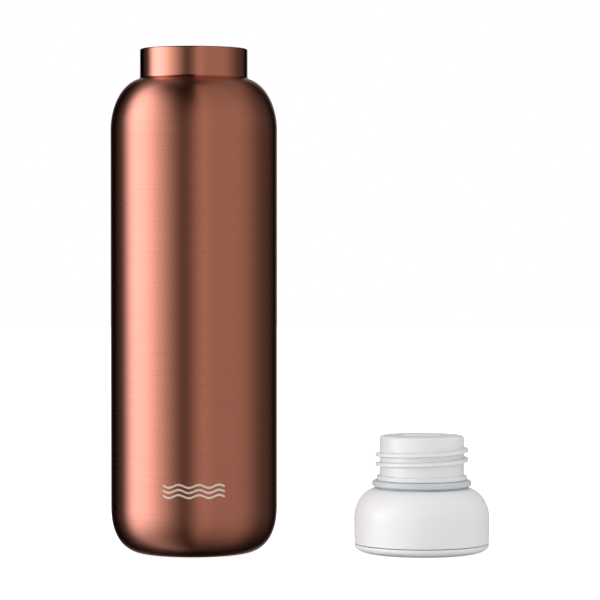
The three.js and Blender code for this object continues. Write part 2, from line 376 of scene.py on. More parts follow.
class Board:
    """Lays and wires shader nodes on one node tree."""

    def __init__(self, tree: Tree) -> None:
        """Starts on an empty tree."""
        self.tree = tree
        tree.nodes.clear()

    def add(self, kind: str, inputs: dict | None = None, **settings: object) -> Node:
        """Adds a node.

        Args:
            kind: Type of the node.
            inputs: What each input takes, by its name or number: an output to link, or a value.
            settings: Properties of the node.

        Returns:
            The new node.
        """
        node = self.tree.nodes.new(kind)
        for key, value in settings.items():
            setattr(node, key, value)
        for key, value in (inputs or {}).items():
            if isinstance(value, Socket):
                self.tree.links.new(value, node.inputs[key])
            else:
                node.inputs[key].default_value = value
        return node

    def maths(self, operation: str, *values: object) -> Socket:
        """The result of a Math node."""
        return self.add("ShaderNodeMath", dict(enumerate(values)), operation=operation).outputs[0]

    def times(self, a: object, b: object) -> Socket:
        """The product of two numbers."""
        return self.maths("MULTIPLY", a, b)

    def less(self, a: object, b: object) -> Socket:
        """One number less another."""
        return self.maths("SUBTRACT", a, b)

    def unsigned(self, a: object) -> Socket:
        """A number without its sign."""
        return self.maths("ABSOLUTE", a)

    def joined(self, a: object, b: object) -> Socket:
        """The sum of two vectors or colours."""
        return self.add("ShaderNodeVectorMath", {0: a, 1: b}, operation="ADD").outputs[0]

    def scaled(self, vector: object, scale: object) -> Socket:
        """A vector, or a colour, times a number."""
        return self.add("ShaderNodeVectorMath", {0: vector, "Scale": scale}, operation="SCALE").outputs[0]

    def step(
        self, value: object, low: float, high: float, start: float = 0.0, end: float = 1.0
    ) -> Socket:
        """A smooth change from start to end as value goes from low to high."""
        inputs = {"Value": value, "From Min": low, "From Max": high, "To Min": start, "To Max": end}
        return self.add("ShaderNodeMapRange", inputs, interpolation_type="SMOOTHSTEP").outputs["Result"]

    def blend(self, factor: object, a: object, b: object) -> Socket:
        """A colour between a and b."""
        inputs = {0: factor, 6: a, 7: b}
        return self.add("ShaderNodeMix", inputs, data_type="RGBA", clamp_factor=True).outputs[2]

    def split(self, vector: object) -> dict[str, Socket]:
        """A vector's X, Y and Z."""
        return dict(self.add("ShaderNodeSeparateXYZ", {0: vector}).outputs.items())

    def noise(self, place: object, scale: object, detail: float, rough: float = 0.5) -> Socket:
        """A cloudy value from 0 to 1."""
        inputs = {"Vector": place, "Scale": scale, "Detail": detail, "Roughness": rough}
        return self.add("ShaderNodeTexNoise", inputs).outputs["Fac"]

    def bump(self, height: object, strength: float, distance: float) -> Socket:
        """The normal of a surface with a fine relief."""
        inputs = {"Height": height, "Strength": strength, "Distance": distance}
        return self.add("ShaderNodeBump", inputs).outputs[0]

    def group(self, tree: Tree, **values: object) -> dict[str, Socket]:
        """The outputs of a node group, with its inputs fed by name."""
        return dict(self.add("ShaderNodeGroup", values, node_tree=tree).outputs.items())

    def give(self, **values: Socket) -> Tree:
        """Sends numbers out of a node group.

        Args:
            values: The numbers, by output name.

        Returns:
            The finished group.
        """
        for name in values:
            self.tree.interface.new_socket(name=name, in_out="OUTPUT", socket_type="NodeSocketFloat")
        self.add("NodeGroupOutput", values)
        return self.tree

    def surface(self, shader: Node) -> None:
        """Sends a shader to the material's surface."""
        self.add("ShaderNodeOutputMaterial", {"Surface": shader.outputs[0]})


def new_group(name: str, *numbers: str) -> tuple[Board, bpy.types.bpy_prop_collection]:
    """Starts a shader node group that takes a place on the object and some numbers.

    Args:
        name: The group's name.
        numbers: Names of its number inputs.

    Returns:
        The board, and what comes in, by name.
    """
    tree = bpy.data.node_groups.new(name, "ShaderNodeTree")
    tree.interface.new_socket(name="Place", in_out="INPUT", socket_type="NodeSocketVector")
    for number in numbers:
        tree.interface.new_socket(name=number, in_out="INPUT", socket_type="NodeSocketFloat")
    board = Board(tree)
    return board, board.add("NodeGroupInput").outputs


MIDDLE = (0.3, 0.7)  # the part of a noise that most of it lies in
MARK_SIZES = ("radius", "shift", "level", "length", "wave", "swing", "spacing", "stroke")


class Effects:
    """The effects that several finishes share, each built once as a node group."""

    def __init__(self) -> None:
        """Builds the groups."""
        self.brushing = self._brushing()
        self.skin = self._skin()
        self.rub = self._rub()
        self.waves = self._waves()

    @staticmethod
    def _brushing() -> Tree:
        """Fine lines that run round the axis, as a value from 0 to 1.

        Returns:
            The group.
        """
        board, given = new_group("brushing", "Across", "Along")
        along = given["Along"]
        stretch = board.add("ShaderNodeCombineXYZ", {0: along, 1: along, 2: given["Across"]})
        inputs = {0: given["Place"], 1: stretch.outputs[0]}
        placed = board.add("ShaderNodeVectorMath", inputs, operation="MULTIPLY").outputs[0]
        return board.give(Lines=board.step(board.noise(placed, 1.0, 3.0, 0.62), *MIDDLE))

    @staticmethod
    def _skin() -> Tree:
        """The fine, even texture of a moulded surface, and a faint cloud of tone.

        Returns:
            The group.
        """
        board, given = new_group("skin", "Scale")
        cloud = board.noise(given["Place"], 45.0, 2.0)
        return board.give(
            Height=board.noise(given["Place"], given["Scale"], 2.0), Tone=board.step(cloud, *MIDDLE)
        )

    @staticmethod
    def _rub() -> Tree:
        """Where a finish is rubbed within Reach of a height: a patchy mask.

        Returns:
            The group.
        """
        board, given = new_group("rub", "Level", "Reach", "Amount")
        away = board.unsigned(board.less(board.split(given["Place"])["Z"], given["Level"]))
        closeness = board.less(1.0, board.maths("DIVIDE", away, given["Reach"]))
        patches = board.less(board.noise(given["Place"], 900.0, 4.0), 1.0)
        patchy = board.step(board.maths("ADD", closeness, patches), 0.0, 0.25)
        return board.give(Mask=board.times(patchy, given["Amount"]))

    @staticmethod
    def _waves() -> Tree:
        """Three etched wave lines on the front of a cylinder, as a mask.

        Returns:
            The group.
        """
        board, given = new_group("etched_waves", *MARK_SIZES)
        place = board.split(given["Place"])
        angle = board.maths("ARCTAN2", place["X"], board.times(place["Y"], -1.0))
        along = board.less(board.times(angle, given["radius"]), given["shift"])
        turn = board.times(board.maths("DIVIDE", along, given["wave"]), 2 * math.pi)
        swing = board.times(board.maths("SINE", turn), given["swing"])
        level = board.less(board.less(place["Z"], given["level"]), swing)
        nearest = board.unsigned(level)
        for line in (-1.0, 1.0):
            away = board.unsigned(board.less(level, board.times(given["spacing"], line)))
            nearest = board.maths("MINIMUM", nearest, away)
        past_end = board.less(board.unsigned(along), board.times(given["length"], 0.5))
        past_end = board.maths("MAXIMUM", past_end, 0.0)
        nearest, past_end = (board.maths("POWER", away, 2.0) for away in (nearest, past_end))
        distance = board.maths("SQRT", board.maths("ADD", nearest, past_end))
        distance = board.maths("DIVIDE", distance, given["stroke"])
        return board.give(Mask=board.step(distance, 0.42, 0.58, 1.0, 0.0))


# ---- finishes


def rgba(colour: Colour) -> tuple[float, float, float, float]:
    """A colour with full alpha."""
    return (*colour, 1.0)


def new_material(name: str) -> tuple[Material, Board]:
    """Starts a material.

    Args:
        name: The material's name.

    Returns:
        The material and its board.
    """
    material = bpy.data.materials.new(name)
    material.use_nodes = True
    return material, Board(material.node_tree)


@dataclass(frozen=True)
class Etching:
    """The wave mark etched through the lacquer on the bottle's front, in metres.

    Attributes:
        rough: Roughness of the etched steel.
        scatter: Share of light that the etched steel scatters evenly.
    """

    radius: float = 0.035
    shift: float = 0.0012
    level: float = 0.0286
    length: float = 0.0252
    wave: float = 0.0084
    swing: float = 0.00062
    spacing: float = 0.0021
    stroke: float = 0.0009
    rough: float = 0.5
    scatter: float = 0.55

    def mask(self, board: Board, effects: Effects, place: Socket) -> Socket:
        """Where the mark is.

        Args:
            board: The material's board.
            effects: The shared effects.
            place: The place on the object.

        Returns:
            A mask of the three lines.
        """
        sizes = {name: getattr(self, name) for name in MARK_SIZES}
        return board.group(effects.waves, Place=place, **sizes)["Mask"]


@dataclass(frozen=True)
class BrushedMetal:
    """Metal brushed or turned round the upright axis, plain or under tinted lacquer.

    Attributes:
        name: Material name.
        light: Colour of the bright lines.
        dark: Colour of the dull lines.
        rough: Lowest and highest roughness.
        spread: How strongly the brushing stretches reflections along the axis.
        relief: Strength of the brushed relief.
        polish: Heights in metres between which brushing gives way to a polish, if any.
        polish_gloss: Share of the roughness that the polish takes away.
        polish_tone: How bright the polish is between the dull and the bright lines.
        rubbed: Heights in metres where the finish is rubbed to bare metal.
        etching: The etched mark, if any.
        bare: Colour of the metal where it is rubbed or etched bare.
    """

    name: str
    light: Colour
    dark: Colour
    rough: tuple[float, float] = (0.24, 0.29)
    spread: float = 0.8
    relief: float = 0.04
    polish: tuple[float, float] | None = None
    polish_gloss: float = 0.45
    polish_tone: float = 0.8
    rubbed: tuple[float, ...] = ()
    etching: Etching | None = None
    bare: Colour = (0.97, 0.79, 0.66)

    @staticmethod
    def _lines(board: Board, effects: Effects, place: Socket) -> Socket:
        """Fine brushing mixed with broad brushing.

        Args:
            board: The material's board.
            effects: The shared effects.
            place: The place on the object.

        Returns:
            The brightness of the lines.
        """
        fine = board.group(effects.brushing, Place=place, Across=7000.0, Along=55.0)["Lines"]
        broad = board.group(effects.brushing, Place=place, Across=1100.0, Along=9.0)["Lines"]
        return board.maths("ADD", board.times(fine, 0.65), board.times(broad, 0.35))

    def make(self, effects: Effects) -> Material:
        """Builds the material.

        Args:
            effects: The shared effects.

        Returns:
            The material.
        """
        material, board = new_material(self.name)
        place = board.add("ShaderNodeTexCoord").outputs["Object"]
        lines = self._lines(board, effects, place)
        rough = board.step(lines, 0.0, 1.0, self.rough[1], self.rough[0])
        metallic = 1.0
        if self.polish:
            polished = board.step(board.split(place)["Z"], *self.polish)
            rough = board.times(rough, board.less(1.0, board.times(polished, self.polish_gloss)))
            lines = board.maths("MAXIMUM", lines, board.times(polished, self.polish_tone))
        colour = board.blend(lines, rgba(self.dark), rgba(self.light))
        for level in self.rubbed:
            worn = board.group(effects.rub, Place=place, Level=level, Reach=0.0005, Amount=0.7)["Mask"]
            colour = board.blend(worn, colour, rgba(self.bare))
        if self.etching:
            mark = self.etching.mask(board, effects, place)
            colour = board.blend(mark, colour, rgba(self.bare))
            rough = board.maths("MAXIMUM", rough, board.times(mark, self.etching.rough))
            metallic = board.less(1.0, board.times(mark, self.etching.scatter))
        board.surface(board.add("ShaderNodeBsdfPrincipled", {
            "Base Color": colour,
            "Roughness": rough,
            "Metallic": metallic,
            "Anisotropic": self.spread,
            "Anisotropic Rotation": 0.25,
            "Normal": board.bump(lines, self.relief, 0.00004),
            "Tangent": board.add("ShaderNodeTangent", direction_type="RADIAL", axis="Z").outputs[0],
        }))
        return material


@dataclass(frozen=True)
class Moulded:
    """A moulded plastic, silicone or foam.

    Attributes:
        name: Material name.
        light: Its colour.
        shade: The colour of its faint clouds.
        rough: Lowest and highest roughness.
        grain: Grains per metre of its texture.
        relief: Strength of its texture.
        depth: Share of light that scatters inside.
        scatter: How far the scattered light goes, in metres.
    """

    name: str
    light: Colour
    shade: Colour
    rough: tuple[float, float] = (0.36, 0.46)
    grain: float = 3800.0
    relief: float = 0.06
    depth: float = 0.0
    scatter: float = 0.001

    def make(self, effects: Effects) -> Material:
        """Builds the material.

        Args:
            effects: The shared effects.

        Returns:
            The material.
        """
        material, board = new_material(self.name)
        place = board.add("ShaderNodeTexCoord").outputs["Object"]
        skin = board.group(effects.skin, Place=place, Scale=self.grain)
        board.surface(board.add("ShaderNodeBsdfPrincipled", {
            "Base Color": board.blend(skin["Tone"], rgba(self.shade), rgba(self.light)),
            "Roughness": board.step(skin["Height"], *MIDDLE, *self.rough),
            "Subsurface Weight": self.depth,
            "Subsurface Scale": self.scatter,
            "Normal": board.bump(skin["Height"], self.relief, 0.0001),
        }))
        return material


class Finishes:
    """Every finish of the object, made once."""

    def __init__(self) -> None:
        """Makes the shared effects and the materials."""
        effects = Effects()
        copper = (0.77, 0.280, 0.182), (0.72, 0.258, 0.165)
        self.copper = BrushedMetal(
            "copper_lacquer", *copper, polish=(0.1985, 0.2003), rubbed=(0.0,), etching=Etching(),
        ).make(effects)
        self.cover = BrushedMetal("cover_lacquer", *copper, relief=0.2).make(effects)
        self.liner = BrushedMetal(
            "liner_steel", (0.66, 0.65, 0.64), (0.55, 0.54, 0.53), (0.16, 0.24), spread=0.5, relief=0.05,
        ).make(effects)
        self.base = BrushedMetal(
            "base_steel", (0.58, 0.57, 0.56), (0.44, 0.43, 0.42), spread=0.3,
        ).make(effects)
        self.solder = BrushedMetal(
            "solder", (0.52, 0.53, 0.55), (0.40, 0.41, 0.43), (0.4, 0.55), spread=0.0,
        ).make(effects)
        self.foil = BrushedMetal(
            "copper_foil", (0.90, 0.47, 0.30), (0.82, 0.40, 0.25), (0.1, 0.2), spread=0.0,
        ).make(effects)
        self.getter = Moulded(
            "getter_tablet", (0.11, 0.11, 0.115), (0.08, 0.08, 0.085), (0.7, 0.9),
        ).make(effects)
        self.cap = Moulded("cap_plastic", (0.87, 0.87, 0.867), (0.855, 0.855, 0.852)).make(effects)
        self.stopper = Moulded(
            "stopper_plastic", (0.85, 0.855, 0.855), (0.83, 0.835, 0.835), (0.28, 0.36), relief=0.03,
        ).make(effects)
        self.silicone = Moulded(
            "seal_silicone", (0.63, 0.68, 0.715), (0.60, 0.66, 0.70), (0.3, 0.4),
            depth=0.35, scatter=0.003,
        ).make(effects)
        self.foam = Moulded(
            "cap_foam", (0.88, 0.86, 0.80), (0.80, 0.78, 0.71), (0.85, 0.95), grain=900.0, relief=0.5,
        ).make(effects)


def dress(piece: Piece, material: Material) -> None:
    """Gives a piece one material."""
    piece.data.materials.clear()
    piece.data.materials.append(material)


def fit(piece: Piece, body: Body, material: Material, node: str) -> Piece:
    """Dresses a piece and joins it to the frame.

    Args:
        piece: The piece.
        body: The body that it rides on.
        material: Its finish.
        node: The frame node that it stands for.

    Returns:
        The same piece.
    """
    dress(piece, material)
    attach(piece, body.value)
    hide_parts(node)
    LOG.info("%s rides on %s", piece.name, body.value)
    return piece


# ---- the bottle


def top_of(node: str) -> float:
    """Highest point of a frame node, in millimetres."""
    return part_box(node)[1].z / MM


def half_width(node: str) -> float:
    """Largest radius of a turned frame node, in millimetres."""
    low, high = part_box(node)
    return (high.y - low.y) / 2 / MM


@dataclass(frozen=True)
class Bottle:
    """The double-wall bottle, in millimetres. Sizes without a default come from the frame."""

    finishes: Finishes
    ridge: Thread
    height: float
    body_r: float
    liner_r: float
    base_r: float
    cover_r: float
    neck_r: float = 22.6
    neck_length: float = 12.3
    neck_fillet: float = 1.6
    shoulder_rise: float = 21.9
    shoulder_reach: float = 14.46
    foot_rise: float = 20.3
    foot_power: float = 2.4
    standing_r: float = 20.0
    standing_width: float = 1.6
    recess: float = 4.2
    sheet: float = 0.5
    gap: float = 0.3
    liner_floor: float = 10.0
    liner_corner: float = 6.0
    liner_opening_r: float = 22.5
    liner_shoulder_z: float = 170.0
    liner_shoulder_rise: float = 22.0
    liner_shoulder_reach: float = 12.0
    ledge_width: float = 1.3
    cover_level: float = 0.8
    lathe: Lathe = Lathe(0.0)

    @classmethod
    def from_frame(cls, finishes: Finishes, ridge: Thread) -> "Bottle":
        """Reads the sizes that the frame gives.

        Args:
            finishes: The finishes.
            ridge: The thread inside the neck.

        Returns:
            The bottle.
        """
        return cls(
            finishes,
            ridge,
            height=top_of("outer_shell"),
            body_r=half_width("outer_shell"),
            liner_r=half_width("inner_flask"),
            base_r=half_width("outer_base"),
            cover_r=half_width("base_disc"),
        )

    @property
    def mouth_r(self) -> float:
        """Inside radius at the mouth."""
        return self.neck_r - 2 * self.sheet - self.gap

    @property
    def bore_r(self) -> float:
        """Inside radius of the threaded bore."""
        return self.mouth_r - self.ledge_width

    @property
    def lip_r(self) -> float:
        """Radius of the half-round lip."""
        return (self.neck_r - self.mouth_r) / 2

    def foot(self, inset: float, steps: int) -> list[Corner]:
        """Corners of the rounded foot, from the standing ring up to the straight body.

        Args:
            inset: How far inside the outer face it runs.
            steps: Number of stretches.

        Returns:
            The corners.
        """
        across, power = self.body_r - self.standing_r - inset, 2 / self.foot_power
        corners = []
        for i in range(steps + 1):
            t = math.pi / 2 * i / steps
            r = self.standing_r + across * math.sin(t) ** power
            corners.append(Corner(r, self.foot_rise - (self.foot_rise - inset) * math.cos(t) ** power))
        return corners

    @staticmethod
    def shoulder(
        side: float, base: float, reach: float, rise: float, neck: float, steps: int
    ) -> list[Corner]:
        """Corners of an oval shoulder.

        Args:
            side: Radius of the straight side under it.
            base: Height where it starts.
            reach: Half axis along the radius.
            rise: Half axis along the height.
            neck: Radius where it ends.
            steps: Number of stretches.

        Returns:
            The corners, upwards.
        """
        centre = side - reach
        end = math.degrees(math.acos((neck - centre) / reach))
        return oval(centre, base, reach, rise, 0, end, steps)

    def build(self) -> None:
        """Turns, dresses and places every piece."""
        self._shell()
        self._liner()
        self._liner_base()
        self._outer_base()
        self._cover()
        nodes = frame["nodes"]
        dress(nodes["radiation_foil"], self.finishes.foil)
        dress(nodes["getter"], self.finishes.getter)
        dress(nodes["vacuum_seal"], self.finishes.solder)

    def _shell(self) -> None:
        """The copper-lacquered outer shell, from its lip to its standing ring."""
        neck, fillet, lip, sheet = self.neck_r, self.neck_fillet, self.lip_r, self.sheet
        rise, reach = self.shoulder_rise, self.shoulder_reach
        base = self.height - self.neck_length - rise
        shoulder = self.shoulder(self.body_r, base, reach, rise, neck + fillet, steps=40)
        under = self.shoulder(self.body_r - sheet, base, reach, rise - sheet, neck - sheet, steps=20)
        fillet_z = shoulder[-1].z + fillet
        recess_r = self.standing_r - self.standing_width
        outline = [
            (recess_r, 0, 0.25),
            *self.foot(0.0, steps=40),
            *wall(self.body_r, self.foot_rise, base, step=12.0)[1:-1],
            *shoulder,
            *oval(neck + fillet, fillet_z, fillet, fillet, 270, 180, steps=10)[1:],
            *wall(neck, fillet_z + 0.4, self.height - lip - 0.3, step=3.0),
            *oval(neck - lip, self.height - lip, lip, lip, 0, 180, steps=16),
            (self.mouth_r, self.height - 2 * lip),
            (neck - sheet, self.height - 2 * lip),
            *reversed(under),
            *wall(self.body_r - sheet, base, self.foot_rise, step=40.0)[1:-1],
            *reversed(self.foot(sheet, steps=20)),
            (recess_r + sheet, sheet), (recess_r + sheet, self.recess),
            (recess_r, self.recess, 0.1),
        ]
        shell = self.lathe.turn("copper_shell", outline, Form.RING)
        fit(shell, Body.BOTTLE, self.finishes.copper, "outer_shell")

    def _liner(self) -> None:
        """The steel liner, with the seal's ledge and its rolled thread."""
        bore, mouth, sheet = self.bore_r, self.mouth_r, self.sheet
        inside_r, inside_corner = self.liner_r - sheet, self.liner_corner
        corner = inside_corner + sheet
        corner_z = self.liner_floor + inside_corner
        top = self.height - 2 * self.lip_r - self.gap
        ledge = ledge_height()
        base, reach, rise = self.liner_shoulder_z, self.liner_shoulder_reach, self.liner_shoulder_rise
        inside = self.shoulder(inside_r, base, reach, rise - sheet, bore, steps=28)
        outline = [
            (self.liner_opening_r, self.liner_floor - sheet),
            *oval(self.liner_r - corner, corner_z, corner, corner, 270, 360, steps=10),
            *self.shoulder(self.liner_r, base, reach, rise, bore + sheet, steps=20),
            (bore + sheet, ledge - sheet, 0.3), (mouth + sheet, ledge - sheet, 0.3),
            (mouth + sheet, top), (mouth, top),
            (mouth, ledge, 0.25), (bore, ledge, 0.35),
            *wall(bore, ledge - 0.8, inside[-1].z + 0.3, step=0.12),
            *reversed(inside),
            *oval(inside_r - inside_corner, corner_z, inside_corner, inside_corner, 360, 270, steps=12),
            (self.liner_opening_r, self.liner_floor),
        ]
        liner = self.lathe.turn("steel_liner", outline, Form.RING, self.ridge.relief(bore))
        fit(liner, Body.BOTTLE, self.finishes.liner, "inner_flask")

    def _liner_base(self) -> None:
        """The crowned disc welded into the liner's foot."""
        crown, weld = 1.5, 4.0
        r, high = self.liner_opening_r - self.gap, self.liner_floor
        low = high - self.sheet
        disc = self.lathe.turn("liner_base_disc", [
            *oval(0, low, r - weld, crown, 90, 0, steps=16),
            (r, low, 0.15), (r, high, 0.15),
            *oval(0, high, r - weld, crown, 0, 90, steps=16),
        ], Form.DISC)
        fit(disc, Body.BOTTLE, self.finishes.liner, "inner_base")

    @property
    def base_floor(self) -> float:
        """Height of the outer base's lower face."""
        return self.recess - self.sheet - self.gap

    def _outer_base(self) -> None:
        """The pressed outer base, with the dimple that the solder sits in."""
        dimple_r, dimple, hole_r = 4.0, 1.4, 1.0
        floor, r, sheet, flat = self.base_floor, self.base_r, self.sheet, dimple_r - dimple
        base = self.lathe.turn("pressed_base", [
            (hole_r, floor + dimple, 0.1), (flat, floor + dimple, 0.4),
            (dimple_r, floor, 0.4), (r - sheet, floor, 0.2),
            (r - sheet, sheet, 0.1), (r, sheet, 0.1),
            (r, floor + sheet, 0.6), (dimple_r, floor + sheet, 0.4),
            (flat, floor + dimple + sheet, 0.4), (hole_r, floor + dimple + sheet, 0.1),
        ], Form.RING)
        fit(base, Body.BOTTLE, self.finishes.base, "outer_base")

    def _cover(self) -> None:
        """The copper-lacquered cover under the outer base."""
        step_r, step = 13.0, 0.35
        level, r, sheet, rim = self.cover_level, self.cover_r, self.sheet, self.base_floor - self.gap
        cover = self.lathe.turn("base_cover", [
            (0, level), (step_r, level, 0.4),
            (step_r + 0.6, level + step, 0.4), (r - 1.4, level + step, 0.4),
            (r - 0.9, level, 0.3), (r, level, 0.45),
            (r, rim, 0.1), (r - sheet, rim, 0.1),
            (r - sheet, level + step + sheet, 0.2), (0, level + step + sheet),
        ], Form.DISC)
        fit(cover, Body.BOTTLE, self.finishes.cover, "base_disc")


def ledge_height() -> float:
    """Height of the ledge that the seal sits on, from the record's mount.

    Returns:
        The height, in millimetres.
    """
    for mount in frame["record"]["mounts"]:
        if mount["name"] == "seal_ledge":
            return mount["pos_m"][2] / MM
    raise ValueError("the record has no seal_ledge mount")


# ---- the cap


@dataclass(frozen=True)
class Cap:
    """The screw stopper cap, upside down on its flat top, in millimetres."""

    finishes: Finishes
    ridge: Thread
    axis_x: float
    radius: float
    plate_thickness: float = 3.6
    plate_lip: float = 2.6
    edge_reach: float = 7.0
    edge_rise: float = 3.0
    draft: float = 0.2
    wall: float = 2.2
    gap: float = 0.3
    dome_start: float = 14.3
    dome_height: float = 27.4
    dome_top_r: float = 18.0
    seal_r: float = 21.0
    seal_thickness: float = 2.5
    seal_foot_r: float = 19.7
    flange_r: float = 19.1
    flange_thickness: float = 2.0
    stopper_r: float = 17.8
    stopper_neck_r: float = 16.6
    hollow_r: float = 15.0
    stopper_height: float = 49.3
    tip_wall: float = 2.3
    tip_edge: float = 1.2

    @classmethod
    def from_frame(cls, finishes: Finishes, ridge: Thread) -> "Cap":
        """Reads the sizes that the frame gives.

        Args:
            finishes: The finishes.
            ridge: The thread round the stopper.

        Returns:
            The cap.
        """
        low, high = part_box("cap_shell")
        middle = (low.x + high.x) / 2 / MM
        return cls(finishes, ridge, middle, half_width("cap_shell"), stopper_height=top_of("stopper"))

    @property
    def lathe(self) -> Lathe:
        """The lathe that turns about the cap's axis."""
        return Lathe(self.axis_x)

    @property
    def shell_start(self) -> float:
        """Height of the dome's wide edge."""
        return self.plate_thickness + self.gap

    @property
    def seal_start(self) -> float:
        """Height of the seal ring's lower face."""
        return self.dome_height + self.gap

    @property
    def flange_start(self) -> float:
        """Height of the flange's lower face."""
        return self.seal_start + self.seal_thickness + self.gap

    def build(self) -> list[Piece]:
        """Turns, dresses and places every piece, and hands them back."""
        return [self._plate(), self._dome(), self._stopper(), self._seal(), self._foam()]

    def _plate(self) -> Piece:
        """The thin plate that closes the cap's flat top.

        Returns:
            The plate.
        """
        r, reach, rise = self.radius - self.draft, self.edge_reach, self.edge_rise
        lip_r = self.radius - self.wall - self.gap
        plate = self.lathe.turn("cap_flat_top", [
            (0, 0),
            *oval(r - reach, rise, reach, rise, 270, 360, steps=24),
            (r, self.plate_thickness, 0.2), (lip_r, self.plate_thickness, 0.2),
            (lip_r, self.plate_thickness + self.plate_lip, 0.3),
            (lip_r - self.wall, self.plate_thickness + self.plate_lip, 0.3),
            (lip_r - self.wall, self.plate_thickness, 0.3), (0, self.plate_thickness),
        ], Form.DISC)
        return fit(plate, Body.CAP, self.finishes.cap, "cap_top_plate")

    def _dome(self) -> Piece:
        """The satin dome.

        Returns:
            The dome.
        """
        reach, rise = self.radius - self.dome_top_r, self.dome_height - self.dome_start
        hole = self.stopper_neck_r + self.gap
        outline = [
            (self.radius - self.draft, self.shell_start, 0.35),
            (self.radius - self.draft * 0.4, self.shell_start + 4),
            *oval(self.dome_top_r, self.dome_start, reach, rise, 0, 90, steps=36),
            (hole, self.dome_height, 0.3), (hole, self.dome_height - self.wall, 0.3),
            *oval(self.dome_top_r, self.dome_start, reach - self.wall, rise - self.wall, 90, 0, steps=20),
            (self.radius - self.wall, self.shell_start, 0.3),
        ]
        dome = self.lathe.turn("cap_dome", outline, Form.RING)
        return fit(dome, Body.CAP, self.finishes.cap, "cap_shell")

    def _stopper(self) -> Piece:
        """The hollow stopper with its flange, thread and raised wave mark.

        Returns:
            The stopper.
        """
        body_start = self.flange_start + self.flange_thickness
        tip = self.stopper_height - self.tip_wall
        outline = [
            (0, tip), (self.hollow_r, tip, 0.6),
            (self.hollow_r, self.shell_start, 0.3),
            (self.stopper_neck_r, self.shell_start, 0.3),
            (self.stopper_neck_r, self.flange_start, 0.3),
            (self.flange_r, self.flange_start, 0.5), (self.flange_r, body_start, 0.4),
            (self.stopper_r, body_start, 0.4),
            *wall(self.stopper_r, body_start + 1.0, self.stopper_height - 3.0, step=0.1),
            (self.stopper_r, self.stopper_height, self.tip_edge), (0, self.stopper_height),
        ]
        stopper = self.lathe.turn("screw_stopper", outline, Form.DISC, self.ridge.relief(self.stopper_r))
        self._tip_waves(stopper)
        return fit(stopper, Body.CAP, self.finishes.stopper, "stopper")

    def _tip_waves(self, stopper: bpy.types.Object) -> None:
        """Raises three waves across the stopper's tip.

        Args:
            stopper: The stopper.
        """
        length, wave, swing, spacing, steps = 15.0, 5.0, 0.55, 2.3, 60
        for line in (-1, 0, 1):
            path = []
            for i in range(steps + 1):
                x = length * (i / steps - 0.5)
                y = swing * math.sin(2 * math.pi * x / wave) + line * spacing
                path.append(Vector((self.axis_x + x, y, self.stopper_height)))
            add_bead(stopper, path, half_width=0.45, height=0.28)

    def _seal(self) -> Piece:
        """The silicone seal between the dome and the flange.

        Returns:
            The seal.
        """
        inner = self.stopper_neck_r + self.gap
        bottom, top = self.dome_height + 0.1, self.flange_start - 0.05
        seal = self.lathe.turn("silicone_seal", [
            (inner, bottom, 0.2), (self.seal_foot_r, bottom, 0.2),
            (self.seal_foot_r + 0.15, bottom + 0.35, 0.2), (self.seal_r, bottom + 0.7, 0.6),
            (self.seal_r, top, 0.95), (inner, top, 0.2),
        ], Form.RING)
        return fit(seal, Body.SEAL, self.finishes.silicone, "seal_ring")

    def _foam(self) -> Piece:
        """The foam puck hidden in the stopper.

        Returns:
            The puck.
        """
        low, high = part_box("cap_insulation")
        r = half_width("cap_insulation")
        bottom, top = low.z / MM, high.z / MM
        foam = self.lathe.turn("foam_puck", [
            (0, bottom), (r, bottom, 1.0),
            (r, top, 1.0), (0, top),
        ], Form.DISC)
        return fit(foam, Body.CORE, self.finishes.foam, "cap_insulation")


# ---- the screw


@dataclass(frozen=True)
class Screw:
    """The thread that the stopper and the liner share, in millimetres."""

    pitch: float = 4.0
    turns: int = 2
    height: float = 1.8
    start_angle: float = math.pi / 2 + math.pi / 40
    stopper_start: float = 36.2
    stopper_widths: tuple[float, float] = (2.1, 1.4)
    liner_widths: tuple[float, float] = (1.5, 0.7)

    def _ridge(self, start: float, widths: tuple[float, float], side: int) -> Thread:
        """A ridge of this screw."""
        return Thread(start, self.start_angle, self.pitch, self.turns, self.height, *widths, side)

    def stopper_ridge(self) -> Thread:
        """The ridge round the stopper."""
        return self._ridge(self.stopper_start, self.stopper_widths, 1)

    def liner_ridge(self) -> Thread:
        """The ridge inside the neck, half a pitch from where the stopper's runs.

        Returns:
            The ridge.
        """
        joints = {joint["name"]: joint for joint in frame["joints"]}
        middle = 2 * joints["cap_carry"]["pos_m"][2] / MM
        screwed = joints["cap_advance"]["range_m"][1] / MM
        rise = self.pitch / (2 * math.pi)
        passing = middle - self.stopper_start + rise * (2 * self.start_angle - math.pi)
        lowest = middle - screwed - self.stopper_start - self.pitch * self.turns
        down = math.floor((passing - lowest) / self.pitch) + 0.5
        return self._ridge(passing - down * self.pitch, self.liner_widths, -1)


# ---- the studio


